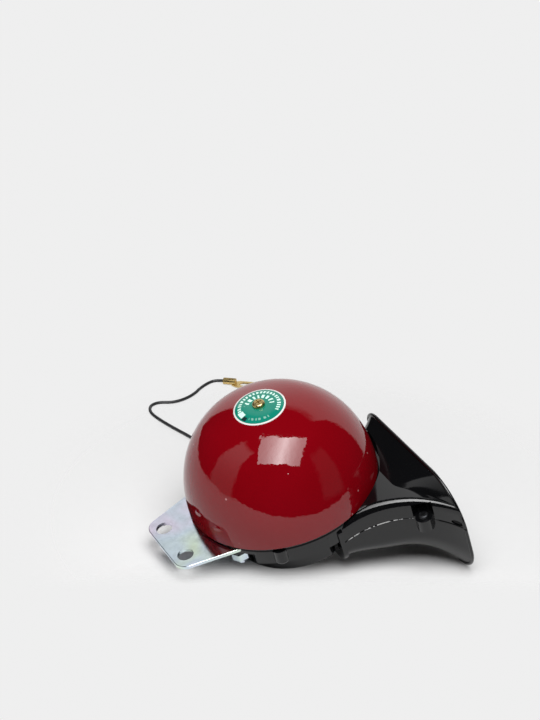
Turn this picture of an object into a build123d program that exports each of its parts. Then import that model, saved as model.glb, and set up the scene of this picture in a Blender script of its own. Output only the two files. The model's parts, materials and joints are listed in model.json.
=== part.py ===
from build123d import *
from math import asin, atan2, cos, degrees, pi, radians, sin, sqrt, tan
import os

# Electric snail horn: a steel motor can under a round painted cover, bolted to a moulded
# snail whose spiral duct ends in a flared trumpet.  Millimetres, +Z along the horn's axis
# towards the cover's crown.  Everything is laid out about that axis, with Z = 0 at the
# cover's rim, and moved at the end so that the origin is the middle of the two bolt holes
# on the top face of the bracket.

# ---- cover -------------------------------------------------------------------------------
cover_radius = 50.0
cover_height = 52.4
cover_wall = 0.8
cover_fullness = 2.15          # exponent of the crown's curve, 2 is an ellipse
hem_height = 3.0
label_radius = 13.5
label_thickness = 0.25
cover_screw_radius = 2.0
cover_screw_head_radius = 3.25
cover_screw_head_height = 2.1
cover_screw_length = 8.0
screw_stud_gap = 5.65          # between the cover screw's tip and the pole stud, inside the post
post_across_flats = 9.0

# ---- motor can and rim stack -----------------------------------------------------------------
can_wall = 1.0
flange_radius = 48.4
flange_drop = 1.9              # underside of the can's flange below the cover's rim
can_step_height = 10.0         # top of the wide step above the cover's rim
can_neck_radius = 26.0
can_top_height = 28.0
can_bend = 2.5
screw_edge = 3.8               # rim screws from the flange's edge
screw_circle = flange_radius - screw_edge
rim_screw_radius = 2.0
can_radius = screw_circle - 6.6
rim_screw_count = 6
first_screw_angle = 30.0
screw_clearance = 0.2
screw_head_radius = 3.4
screw_head_height = 2.2
gasket_thickness = 0.3
gasket_width = 5.0
diaphragm_radius = screw_circle - rim_screw_radius - 1.1
diaphragm_thickness = 0.25
diaphragm_dish = 1.0

# ---- electromagnet ------------------------------------------------------------------------------
air_gap = 0.8
armature_radius = 9.0
armature_collar_radius = 13.0
armature_collar_height = 3.0
armature_top = 9.4
armature_collar_drop = 3.4     # top of the armature's collar below the armature's face
armature_rivet_radius = 2.5
armature_rivet_head_radius = 4.2
armature_rivet_head_height = 1.2
washer_radius = 8.0
washer_thickness = 1.0
pole_radius = 8.5
pole_stud_radius = 4.0
pole_stud_top = cover_height + label_thickness - cover_screw_length - screw_stud_gap
pole_nut_across_flats = 13.0
pole_nut_height = 5.0
pole_washer_radius = 8.0
pole_washer_thickness = 1.6
bobbin_wall = 1.0
bobbin_radius = 23.2
bobbin_clearance = 0.2
winding_radius = 21.8
wire_layer_pitch = 2.4

# ---- contact breaker -----------------------------------------------------------------------------
breaker_angle = 200.0
stack_radius = can_radius - 6.8   # middle of the riveted stack from the axis
stack_length = 8.0
arm_width = 8.0
arm_thickness = 0.4
arm_corner = 1.2
insulator_thickness = 1.0
contact_radius = 1.6
contact_place = 20.5           # contact pair from the axis
contact_height = 0.5
button_place = 11.6
button_radius = 1.4
button_gap = 0.55              # button above the armature's collar at rest
rivet_radius = 1.2
rivet_head_radius = 2.0
rivet_head_height = 0.8
rivet_spacing = 4.6
clamp_plate_thickness = 1.0
adjuster_radius = 2.0
adjuster_head_radius = 3.4
adjuster_head_height = 2.0
adjuster_reach = 3.4           # bare thread between the can and the adjuster's head
adjuster_out = stack_radius - 1.2   # the adjuster from the axis along the breaker, and across it
adjuster_across = 9.5
adjuster_nut_across_flats = 7.0
adjuster_nut_height = 2.6
ear_radius = 3.4               # of the fixed arm's ear under the adjuster

# ---- snail base and bowl ------------------------------------------------------------------------------
base_flange_thickness = 3.0
base_plate_radius = screw_circle - 0.8
chamber_depth = 2.4            # below the diaphragm's seat
plate_floor = 2.6
throat_radius = 5.0
skirt_wall = 2.2
skirt_depth = 9.2
skirt_sectors = ((44, 97), (203, 316))
skirt_rib_angles = (60, 240, 300)
boss_radius = 3.9
boss_depth = 8.6
snail_bottom_depth = 25.9      # underside of the snail below the cover's rim
snail_wall = 2.0
snail_edge = 4.0
throat_start = 4.0             # the spiral duct's inner and outer radius where it begins
throat_end = 14.0
outlet_radius = 29.0           # middle of the duct where it leaves the spiral
outlet_width = 20.0
spigot_length = 8.0
spigot_wall = 1.6
spigot_top = 10.4
spigot_bottom = 23.0

# ---- trumpet: corners of its section at stations along -X ------------------------------------------
# x of the station, inner side, outer side, top, bottom, and the four corner radii
# (inner top, outer top, outer bottom, inner bottom)
stations = [
    (-5.5, 16.0, 48.0, -3.0, -25.5, 3.0, 4.0, 6.0, 6.0),
    (-21.5, 12.0, 51.8, -1.0, -28.0, 5.0, 7.0, 8.0, 8.0),
    (-35.0, 5.0, 57.0, 0.7, -31.5, 7.0, 11.0, 10.0, 11.0),
    (-46.5, -2.5, 63.6, 3.0, -37.2, 9.0, 16.0, 13.0, 14.0),
    (-54.2, -7.5, 70.6, 5.2, -44.8, 11.0, 21.0, 15.0, 17.0),
    (-58.9, -11.0, 77.2, 6.9, -50.6, 12.0, 25.0, 17.0, 19.0),
]
bell_inset = (4.5, 4.5, 4.5, 4.0, 1.6, 0.0)   # upper half narrower than the lower, by station
mouth_turn = 2.1               # degrees that the mouth is turned about an upright line
mouth_lean = 3.5               # the inner side's top stands further in than its foot, at the mouth
mouth_sag = 6.5                # the inner side's foot is higher than the outer side's, at the mouth
trumpet_wall = 2.0
lip_radius = 0.9
shoulder_rise = 11.6           # the rounded shoulder's top above the seam
shoulder_radius = 5.0
shoulder_side = 25.0           # where the shoulder starts, inside the bell
seam_step = 0.4                # the upper half stands back from the lower at the seam
seam_crown_x = -31.5           # the seam is an arc in side view, with its crown here
seam_crown_z = -8.4
seam_arc_radius = 58.0
pocket_floor = (-59.94, 73.55, -13.8)   # a lens-shaped pocket above the seam, beside the lip
pocket_run = (-0.63, 0.776, -0.35)
pocket_facing = (0.776, 0.63, 0)
pocket_length = 6.2
pocket_height = 2.8
socket_clearance = 0.15
collar_width = 2.5
collar_step = 1.0
dome_clearance = 1.2
lug_radius = 4.4
lug_spots = ((-46.8, 63.6), (-50.0, -11.2))
lug_webs = (0.0, 5.2)          # a web from the lug's axis to the wall, where it stands clear of it
lug_depth = 5.0
lug_top = 2.0
seam_screw_head_radius = 2.7
seam_screw_head_height = 1.8
seam_screw_radius = 1.3
notch_radius = 5.4
notch_height = 7.4             # of the pocket above each seam screw's seat
notch_wall = 1.8

# ---- bracket -------------------------------------------------------------------------------------------
bracket_thickness = 2.0
hole_reach = 63.5              # bolt holes from the horn's axis
hole_spacing = 25.2
hole_radius = 4.25
bracket_end = hole_reach + 7.3
bracket_end_half_width = hole_spacing / 2 + 7.8
bracket_root_half_width = 28.0
bracket_root = screw_circle - 4.6
bracket_tail = screw_circle - 11.1
bracket_corner = 7.0
pocket_clearance = 0.1
bracket_nut_across_flats = 8.0
bracket_nut_height = 4.0
bracket_screw_tail = 3.0       # thread that stands out of the nut

# ---- lead --------------------------------------------------------------------------------------------------
lead_radius = 0.85
lead_angle = -80.0
grommet_radius = 2.6
grommet_head_height = 1.6
# The lead droops from its grommet to the flat surface that the horn lies on, tilted, and runs
# along it.  The route is from the grommet's face outwards, measured as the horn is.
lead_route = [
    (10.2, -58.0, -8.4),
    (10.6, -67.0, -12.5),
    (9.8, -75.5, -20.5),
    (8.4, -83.5, -29.5),
    (7.4, -92.5, -37.9),
    (7.6, -102.8, -39.6),
    (9.9, -113.0, -39.6),
    (13.4, -123.5, -39.2),
    (16.3, -134.0, -39.0),
    (17.9, -142.2, -39.1),
    (17.5, -147.8, -39.6),
    (14.7, -152.4, -40.7),
    (9.4, -153.5, -42.4),
    (3.2, -149.9, -44.0),
    (-4.4, -150.5, -46.4),
    (-11.5, -153.6, -48.7),
    (-17.4, -158.4, -50.8),
    (-24.1, -161.6, -52.9),
    (-28.2, -160.9, -53.6),
    (-31.1, -158.1, -53.9),
]
bend_share = 0.45              # of the shorter run beside a corner, which its arc may take
surface_up = (-0.2896, -0.0630, 0.9551)   # upright direction when the horn lies on a flat surface
fork_width = 6.6
fork_length = 18.5
fork_slot = 3.4
fork_slot_start = 11.0
fork_thickness = 0.8
fork_barrel_radius = 1.9
fork_barrel_length = 7.0
fork_seam_width = 0.5

# ---- heights worked out from the sizes above --------------------------------------------------------
flange_under = -flange_drop
seat_z = flange_under - 2 * gasket_thickness - diaphragm_thickness
diaphragm_z = flange_under - gasket_thickness - diaphragm_thickness
chamber_z = seat_z - chamber_depth
plate_under = chamber_z - plate_floor
can_step_under = can_step_height - can_wall
can_top_under = can_top_height - can_wall
pole_face = armature_top + air_gap
collar_top = armature_top - armature_collar_drop
origin_shift = Location((-hole_reach, 0, flange_drop))


def ring(outer, inner, low, high):
    """A ring about the horn's axis, or a disc where inner is 0."""
    body = Pos(0, 0, low) * Cylinder(outer, high - low, align=(Align.CENTER, Align.CENTER, Align.MIN))
    if inner > 0:
        body -= Pos(0, 0, low - 1) * Cylinder(
            inner, high - low + 2, align=(Align.CENTER, Align.CENTER, Align.MIN)
        )
    return body


def post(spot, radius, low, high):
    """An upright round post at a place on the plan."""
    return Pos(spot[0], spot[1], 0) * ring(radius, 0, low, high)


def hex_post(spot, across_flats, low, high):
    """An upright hexagonal prism at a place on the plan."""
    outline = RegularPolygon(across_flats / 2, 6, major_radius=False)
    return extrude(Pos(spot[0], spot[1], low) * outline, high - low)


def polar(radius, angle):
    """A place on the plan from its radius and its angle in degrees."""
    return (radius * cos(radians(angle)), radius * sin(radians(angle)))


def block(x0, x1, y0, y1, z0, z1):
    """A box from its limits."""
    return Pos((x0 + x1) / 2, (y0 + y1) / 2, (z0 + z1) / 2) * Box(x1 - x0, y1 - y0, z1 - z0)


def cross_recess(radius, depth, z):
    """The cutting form of a cross recess that is open upwards at z."""
    arm = Box(2 * radius, 0.34 * radius, 2 * depth)
    return Pos(0, 0, z) * (arm + Rot(0, 0, 90) * arm)


def pan_screw(spot, head_radius, head_height, shank_radius, seat, tip):
    """A cross-recess pan head screw that stands head up on its seat."""
    head = ring(head_radius, 0, seat, seat + head_height)
    head = fillet(head.edges().sort_by(Axis.Z)[-1], 0.6 * head_height)
    head -= cross_recess(0.55 * head_radius, 0.5 * head_height, seat + head_height)
    return Pos(spot[0], spot[1], 0) * (head + ring(shank_radius, 0, tip, seat + 0.3))


def screw_spots():
    """The places of the rim screws on the plan."""
    step = 360 / rim_screw_count
    return [polar(screw_circle, first_screw_angle + step * i) for i in range(rim_screw_count)]


def is_bracket_screw(spot):
    """The two rim screws nearest the bracket also hold it."""
    return spot[0] > 0 and abs(degrees(atan2(spot[1], spot[0]))) < 45


# ---- cover, label and what holds them ----------------------------------------------------------------
def crown(radius, height):
    """The solid under the cover's curve, which is upright at the rim and flat at the crown."""
    power = 2 / cover_fullness
    turns = [radians(15 * i) for i in range(7)]
    points = [(radius * cos(t) ** power, height * sin(t) ** power) for t in turns[:-1]]
    points.append((0, height))
    curve = Spline(points, tangents=[(0, 1), (-1, 0)])
    outline = curve + Polyline(points[-1], (0, 0), points[0])
    return revolve(Plane.XZ * make_face(outline), Axis.Z)


def make_cover():
    shell = crown(cover_radius, cover_height) - crown(cover_radius - cover_wall, cover_height - cover_wall)
    hem = ring(cover_radius - cover_wall / 2, cover_radius - 2 * cover_wall, 0, hem_height)
    hem = fillet(hem.edges().sort_by(Axis.Z)[-2:], 0.25)
    cover = shell + hem
    return cover - post((0, 0), cover_screw_radius + screw_clearance, 0, cover_height + 1)


def make_label():
    grown = crown(cover_radius + label_thickness, cover_height + label_thickness)
    disc = grown - crown(cover_radius, cover_height)
    low = cover_height / 2
    return disc & ring(label_radius, cover_screw_radius + screw_clearance, low, cover_height + 1)


def make_cover_screw():
    seat = cover_height + label_thickness
    return pan_screw(
        (0, 0),
        cover_screw_head_radius,
        cover_screw_head_height,
        cover_screw_radius,
        seat,
        seat - cover_screw_length,
    )


def make_cover_post():
    low = can_top_height + pole_washer_thickness + pole_nut_height
    top = cover_height - cover_wall
    body = hex_post((0, 0), post_across_flats, low, top)
    body &= crown(cover_radius - cover_wall, cover_height - cover_wall)
    body -= post((0, 0), pole_stud_radius, low - 1, pole_stud_top)
    return body - post((0, 0), cover_screw_radius, pole_stud_top, top + 1)


# ---- motor can --------------------------------------------------------------------------------------------
def can_corners(form, radius, step_height, top_height):
    """The drawn corners of the can: the rim of its wide step and the rim of its top."""
    circles = form.edges().filter_by(GeomType.CIRCLE)
    step = [e for e in circles if abs(e.center().Z - step_height) < 0.01 and abs(e.radius - radius) < 0.01]
    top = [e for e in circles if abs(e.center().Z - top_height) < 0.01]
    return step + top


def make_can():
    outer = ring(can_radius, 0, flange_under, can_step_height)
    outer += ring(can_neck_radius, 0, can_step_under, can_top_height)
    outer = fillet(can_corners(outer, can_radius, can_step_height, can_top_height), can_bend)
    inner = ring(can_radius - can_wall, 0, flange_under - 1, can_step_under)
    inner += ring(can_neck_radius - can_wall, 0, 0, can_top_under)
    corners = can_corners(inner, can_radius - can_wall, can_step_under, can_top_under)
    inner = fillet(corners, can_bend - can_wall)
    can = outer - inner
    can += ring(flange_radius, can_radius - can_wall, flange_under, flange_under + can_wall)
    for spot in screw_spots():
        can -= post(spot, rim_screw_radius + screw_clearance, flange_under - 1, 0)
    can -= post((0, 0), pole_stud_radius + screw_clearance, can_top_under - 1, can_top_height + 1)
    for spot in rivet_spots():
        can -= post(spot, rivet_radius, can_step_under - 1, can_step_height + 1)
    return can - post(adjuster_spot(), adjuster_radius, can_step_under - 1, can_step_height + 1)


def make_pole_core():
    core = ring(pole_radius, 0, pole_face, can_top_under)
    core += ring(pole_stud_radius, 0, can_top_under - 1, pole_stud_top)
    return chamfer(core.edges().sort_by(Axis.Z)[-1], 0.6)


def make_pole_washer():
    low = can_top_height
    washer = ring(pole_washer_radius, pole_stud_radius + screw_clearance, low, low + pole_washer_thickness)
    return washer


def make_pole_nut():
    low = can_top_height + pole_washer_thickness
    nut = hex_post((0, 0), pole_nut_across_flats, low, low + pole_nut_height)
    return nut - post((0, 0), pole_stud_radius, low - 1, low + pole_nut_height + 1)


def make_bobbin():
    low = pole_face + 0.2
    high = can_top_under
    inner = pole_radius + bobbin_clearance
    bobbin = ring(inner + bobbin_wall, inner, low, high)
    bobbin += ring(bobbin_radius, inner, low, low + bobbin_wall)
    return bobbin + ring(bobbin_radius, inner, high - bobbin_wall, high)


def make_winding():
    low = pole_face + 0.2 + bobbin_wall
    high = can_top_under - bobbin_wall
    body = ring(winding_radius, pole_radius + bobbin_clearance + bobbin_wall, low, high)
    grooves = int((high - low) / wire_layer_pitch)
    step = (high - low) / grooves
    for i in range(1, grooves):
        body -= Pos(0, 0, low + step * i) * Torus(winding_radius + 0.15, 0.4)
    return body


# ---- diaphragm and armature ---------------------------------------------------------------------------
def make_gasket(low):
    return ring(diaphragm_radius, diaphragm_radius - gasket_width, low, low + gasket_thickness)


def make_diaphragm():
    """A disc that is clamped at its rim and dished up towards the armature."""
    low = diaphragm_z
    t = diaphragm_thickness
    clamp = diaphragm_radius - gasket_width
    rise_end = clamp - 8.0
    bore = armature_rivet_radius
    under = Polyline((bore, low + diaphragm_dish), (rise_end, low + diaphragm_dish))
    slope = Spline(
        (rise_end, low + diaphragm_dish), (clamp, low), tangents=[(1, 0), (1, 0)]
    )
    rim = Polyline((clamp, low), (diaphragm_radius, low), (diaphragm_radius, low + t), (clamp, low + t))
    back = Spline(
        (clamp, low + t), (rise_end, low + diaphragm_dish + t), tangents=[(-1, 0), (-1, 0)]
    )
    top = Polyline(
        (rise_end, low + diaphragm_dish + t), (bore, low + diaphragm_dish + t), (bore, low + diaphragm_dish)
    )
    return revolve(Plane.XZ * make_face(under + slope + rim + back + top), Axis.Z)


def make_armature():
    low = diaphragm_z + diaphragm_dish + diaphragm_thickness
    body = ring(armature_radius, 0, low, armature_top)
    body += ring(armature_collar_radius, 0, collar_top - armature_collar_height, collar_top)
    body = chamfer(body.edges().sort_by(Axis.Z)[-1], 0.5)
    head_seat = armature_top - armature_rivet_head_height
    body -= post((0, 0), armature_rivet_head_radius, head_seat, armature_top + 1)
    return body - post((0, 0), armature_rivet_radius, low - 1, armature_top)


def make_armature_rivet():
    """The rivet that clamps the armature, the diaphragm and the washer together."""
    top = armature_top
    washer_under = diaphragm_z + diaphragm_dish - washer_thickness
    rivet = ring(armature_rivet_head_radius, 0, top - armature_rivet_head_height, top)
    rivet += ring(armature_rivet_radius, 0, washer_under, top - armature_rivet_head_height)
    low = washer_under - armature_rivet_head_height
    closed = ring(armature_rivet_head_radius, 0, low, washer_under)
    return rivet + fillet(closed.edges().sort_by(Axis.Z)[0], armature_rivet_head_height / 2)


def make_washer():
    high = diaphragm_z + diaphragm_dish
    return ring(washer_radius, armature_rivet_radius, high - washer_thickness, high)


# ---- contact breaker --------------------------------------------------------------------------------------
def on_breaker(x, y=0.0):
    """A place on the plan, x out from the axis along the breaker and y across it."""
    turn = radians(breaker_angle)
    return (x * cos(turn) - y * sin(turn), x * sin(turn) + y * cos(turn))


def rivet_spots():
    return [on_breaker(stack_radius, side * rivet_spacing / 2) for side in (-1, 1)]


def adjuster_spot():
    return on_breaker(adjuster_out, adjuster_across)


def breaker_block(x0, x1, width, low, high):
    return Rot(0, 0, breaker_angle) * block(x0, x1, -width / 2, width / 2, low, high)


stack_inner = stack_radius - stack_length / 2
stack_outer = stack_radius + stack_length / 2
moving_arm_z = can_step_under - insulator_thickness - arm_thickness
fixed_arm_z = moving_arm_z - 2 * contact_height - arm_thickness


def with_rivet_holes(body):
    for spot in rivet_spots():
        body -= post(spot, rivet_radius, 0, can_step_height)
    return body


def make_moving_arm():
    tip = button_place - button_radius - 0.6
    arm = breaker_block(tip, stack_outer, arm_width, moving_arm_z, moving_arm_z + arm_thickness)
    return with_rivet_holes(fillet(arm.edges().filter_by(Axis.Z), arm_corner))


def make_fixed_arm():
    tip = contact_place - contact_radius - 0.9
    top = fixed_arm_z + arm_thickness
    arm = breaker_block(tip, stack_outer, arm_width, fixed_arm_z, top)
    arm = fillet(arm.edges().filter_by(Axis.Z), arm_corner)
    ear = block(adjuster_out - ear_radius, adjuster_out + ear_radius, 0, adjuster_across, fixed_arm_z, top)
    arm += Rot(0, 0, breaker_angle) * ear
    arm += post(adjuster_spot(), ear_radius, fixed_arm_z, top)
    return with_rivet_holes(arm)


def make_moving_contact():
    return post(on_breaker(contact_place), contact_radius, moving_arm_z - contact_height, moving_arm_z)


def make_fixed_contact():
    low = fixed_arm_z + arm_thickness
    return post(on_breaker(contact_place), contact_radius, low, low + contact_height)


def make_button():
    return post(on_breaker(button_place), button_radius, collar_top + button_gap, moving_arm_z)


def make_insulators():
    """Three insulating plates: above the moving arm, between the arms, and under the fixed arm."""
    lows = (
        (moving_arm_z + arm_thickness, can_step_under),
        (fixed_arm_z + arm_thickness, moving_arm_z),
        (fixed_arm_z - insulator_thickness, fixed_arm_z),
    )
    return [
        with_rivet_holes(breaker_block(stack_inner, stack_outer, arm_width + 1.0, low, high))
        for low, high in lows
    ]


clamp_plate_top = fixed_arm_z - insulator_thickness


def make_clamp_plate():
    low = clamp_plate_top - clamp_plate_thickness
    return with_rivet_holes(breaker_block(stack_inner, stack_outer, arm_width, low, clamp_plate_top))


def make_rivets():
    rivets = []
    for spot in rivet_spots():
        low = clamp_plate_top - clamp_plate_thickness
        rivet = post(spot, rivet_radius, low, can_step_height)
        rivet += post(spot, rivet_head_radius, low - rivet_head_height, low)
        rivet += post(spot, rivet_head_radius, can_step_height, can_step_height + rivet_head_height)
        rivets.append(rivet)
    return rivets


def make_adjuster():
    spot = adjuster_spot()
    top = can_step_height + adjuster_reach
    head_top = top + adjuster_head_height
    screw = post(spot, adjuster_radius, fixed_arm_z + arm_thickness, top)
    head = post(spot, adjuster_head_radius, top, head_top)
    slot = Pos(spot[0], spot[1], head_top) * Box(2.2 * adjuster_head_radius, 1.0, adjuster_head_height)
    return screw + head - slot


def make_adjuster_nut():
    top = can_step_height + adjuster_nut_height
    nut = hex_post(adjuster_spot(), adjuster_nut_across_flats, can_step_height, top)
    return nut - post(adjuster_spot(), adjuster_radius, can_step_height - 1, top + 1)


# ---- snail -------------------------------------------------------------------------------------------------
def sector(low_angle, high_angle, z0, z1, reach=90.0):
    """An upright wedge about the axis, for cutting rings to length."""
    steps = 4
    angles = [low_angle + (high_angle - low_angle) * i / steps for i in range(steps + 1)]
    outline = Polyline((0, 0), *[polar(reach, a) for a in angles], (0, 0))
    return extrude(Pos(0, 0, z0) * make_face(outline), z1 - z0)


def bracket_outline(grow=0.0):
    end = bracket_end + grow
    outline = Polyline(
        (bracket_tail - grow, -bracket_root_half_width - grow),
        (bracket_root, -bracket_root_half_width - grow),
        (end, -bracket_end_half_width - grow),
        (end, bracket_end_half_width + grow),
        (bracket_root, bracket_root_half_width + grow),
        (bracket_tail - grow, bracket_root_half_width + grow),
        close=True,
    )
    return make_face(outline)


def make_bracket():
    low = flange_under - bracket_thickness
    plate = extrude(Pos(0, 0, low) * bracket_outline(), bracket_thickness)
    corners = plate.edges().filter_by(Axis.Z).group_by(Axis.X)[-1]
    plate = fillet(corners, bracket_corner)
    plate -= ring(diaphragm_radius + 0.6, 0, low - 1, 1)
    for side in (-1, 1):
        spot = (hole_reach, side * hole_spacing / 2)
        plate -= post(spot, hole_radius, low - 1, flange_under + 1)
    for spot in screw_spots():
        plate -= post(spot, rim_screw_radius + screw_clearance, low - 1, flange_under + 1)
    faces = plate.faces().filter_by(Axis.Z)
    rim_edges = faces[0].outer_wire().edges() + faces[-1].outer_wire().edges()
    return fillet(rim_edges, 0.4)


def make_base():
    flange_low = flange_under - base_flange_thickness
    base = ring(flange_radius, 0, flange_low, flange_under)
    base += ring(base_plate_radius, 0, plate_under, flange_low)
    skirt = ring(flange_radius, flange_radius - skirt_wall, flange_under - skirt_depth, flange_low)
    for low_angle, high_angle in skirt_sectors:
        base += skirt & sector(low_angle, high_angle, -40, 0)
    for spot in screw_spots():
        if in_trumpet(spot):
            continue
        boss_low = plate_under if is_bracket_screw(spot) else flange_under - boss_depth
        base += post(spot, boss_radius, boss_low, flange_low)
    for angle in skirt_rib_angles:
        spot = polar(flange_radius - 1.6, angle)
        rib = post(spot, boss_radius, flange_under - skirt_depth, flange_under - 0.4)
        base += fillet(rib.edges().sort_by(Axis.Z)[0], 2.0)
    base -= extrude(Pos(0, 0, plate_under - 20) * bowl_outline(root_x), 20)
    base -= ring(diaphragm_radius + 0.2, 0, seat_z, 1)
    base -= ring(diaphragm_radius - gasket_width, 0, chamber_z, 1)
    base -= post((0, 0), throat_radius, plate_under - 1, 1)
    pocket = extrude(Pos(0, 0, flange_under - bracket_thickness) * bracket_outline(pocket_clearance), 5)
    base -= pocket - ring(diaphragm_radius + 0.6 - pocket_clearance, 0, -20, 5)
    for spot in screw_spots():
        if is_bracket_screw(spot):
            base -= post(spot, rim_screw_radius + screw_clearance, -20, 1)
        elif in_trumpet(spot):
            base -= post(spot, rim_screw_radius, -20, 1)
        else:
            base -= post(spot, rim_screw_radius, flange_under - boss_depth + 1.2, 1)
    base -= grommet_form(grommet_radius - 0.5, 12)
    return base


def in_trumpet(spot):
    """The trumpet's top runs close under the flange here, so there is no room for a boss."""
    return 100 < degrees(atan2(spot[1], spot[0])) % 360 < 190


root_x = stations[0][0]
outlet_in = outlet_radius - outlet_width / 2
outlet_out = outlet_radius + outlet_width / 2


def volute(start, finish, skipped=0.0):
    """One turn of a spiral in four quarter arcs, from (0, start) round to (0, finish)."""
    growth = (finish - start) / 4
    centres = ((0, 0), (growth, 0), (growth, growth), (0, growth))
    arcs = []
    for i, centre in enumerate(centres):
        cut = skipped if i == 0 else 0
        arcs.append(CenterArc(centre, start + growth * i, 90 + 90 * i + cut, 90 - cut))
    return arcs


def bowl_outline(end_x):
    """The snail's plan: the spiral's outer wall, closed across its outlet."""
    start = throat_end + snail_wall
    arcs = volute(start, outlet_out + snail_wall, degrees(asin(-end_x / start)))
    low = arcs[0] @ 0
    high = arcs[-1] @ 1
    face = make_face(Curve() + arcs + Polyline((high.X, high.Y), (end_x, high.Y), (end_x, low.Y)))
    face = fillet(face.vertices().sort_by_distance(Vector(end_x, low.Y, 0))[0], 3)
    return fillet(face.vertices().sort_by_distance(Vector(end_x, high.Y, 0))[0], snail_edge + 0.5)


def duct_outline(end_x):
    """The spiral duct's plan: a band that widens through one turn and runs out along -X."""
    ends = Polyline((0, outlet_out), (end_x, outlet_out), (end_x, outlet_in), (0, outlet_in))
    start = Line((0, throat_start), (0, throat_end))
    sides = volute(throat_end, outlet_out) + volute(throat_start, outlet_in)
    return make_face(Curve() + sides + ends + start)


def make_bowl():
    """The snail's lower part: a spiral duct, open upwards, and the spigot of its outlet."""
    end_x = root_x
    body = extrude(Pos(0, 0, -snail_bottom_depth) * bowl_outline(end_x), snail_bottom_depth + plate_under)
    body = fillet(body.edges().group_by(Axis.Z)[0], snail_edge)
    duct_low = -snail_bottom_depth + snail_wall
    body -= extrude(Pos(0, 0, duct_low) * duct_outline(end_x + snail_wall), 40)
    body -= post((0, 0), throat_start + 3.5, duct_low, 0)
    spigot_end = root_x - spigot_length
    low = -spigot_bottom
    high = -spigot_top
    body += block(spigot_end, end_x + 1, outlet_in - spigot_wall, outlet_out + spigot_wall, low, high)
    bore_low = low + spigot_wall
    return body - block(spigot_end - 1, end_x + 4, outlet_in, outlet_out, bore_low, high - spigot_wall)


# ---- trumpet ------------------------------------------------------------------------------------------------
def section(station, grow, inset):
    """The rounded outline of the trumpet at one station, on a plane across X."""
    x, inner, outer, top, bottom, *corners = station
    flared = ((x - stations[0][0]) / (stations[-1][0] - stations[0][0])) ** 2
    left = inner - grow
    right = outer - inset + grow
    high = top + grow
    low = bottom - grow
    radii = [max(r + grow, 1.0) for r in corners]
    turn = radians(mouth_turn * flared)
    plane = Plane(origin=(x, 0, 0), x_dir=(-sin(turn), cos(turn), 0), z_dir=(cos(turn), sin(turn), 0))
    spots = [
        (left - mouth_lean * flared, high),
        (right, high),
        (right, low),
        (left, low + mouth_sag * flared),
    ]
    face = make_face(Polyline(*spots, close=True))
    for spot, radius in zip(spots, radii):
        vertex = face.vertices().sort_by_distance(Vector(*spot, 0))[0]
        face = fillet(vertex, radius)
    return plane * face


def flare(grow, insets):
    return loft([section(s, grow, i) for s, i in zip(stations, insets)])


def shoulder(grow):
    """The rounded shoulder along the outer side, whose top runs beside the seam."""
    faces = []
    for x, inner, outer, top, bottom, *corners in stations:
        ledge = seam_z(x) + shoulder_rise
        spot = (x, shoulder_side, outer, ledge, bottom + mouth_sag, 1.0, shoulder_radius, corners[2], 1.0)
        faces.append(section(spot, grow, 0))
    return loft(faces)


def seam_z(x):
    """Height of the seam between the trumpet's halves."""
    return seam_crown_z - seam_arc_radius + sqrt(seam_arc_radius**2 - (x - seam_crown_x) ** 2)


def below_seam():
    """The room under the seam, a round bar across the trumpet."""
    bar = Rot(90, 0, 0) * Cylinder(seam_arc_radius, 300)
    return Pos(seam_crown_x, 0, seam_crown_z - seam_arc_radius) * bar


def body_room(gap):
    """The room that the base, the can's flange and the cover take, grown by a gap."""
    room = ring(base_plate_radius + gap, 0, plate_under - gap, 40)
    room += ring(flange_radius + gap, 0, flange_under - base_flange_thickness - gap, 40)
    return room + ring(cover_radius + dome_clearance + gap, 0, -dome_clearance - gap, 40)


def mouth_wire():
    return section(stations[-1], 0, 0).face().outer_wire()


def lug_posts(radius, low, high):
    """Upright posts at the lugs, their ends measured from the seam."""
    return [post(spot, radius, seam_z(spot[0]) + low, seam_z(spot[0]) + high) for spot in lug_spots]


def lug_forms():
    """The lugs' outer forms, each with its web."""
    forms = lug_posts(lug_radius, -lug_depth, lug_top)
    for i, (spot, web) in enumerate(zip(lug_spots, lug_webs)):
        if web > 0:
            x, y = spot
            half = 0.7 * lug_radius
            forms[i] += block(x - half, x + half, y, y + web, seam_z(x) - lug_depth, seam_z(x) + lug_top)
    return forms


def lip_pocket():
    """The form that sinks the pocket into the upper half's outer side."""
    plane = Plane(origin=pocket_floor, x_dir=pocket_run, z_dir=pocket_facing)
    return extrude(plane * Ellipse(pocket_length / 2, pocket_height / 2), 2 * trumpet_wall)


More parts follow.
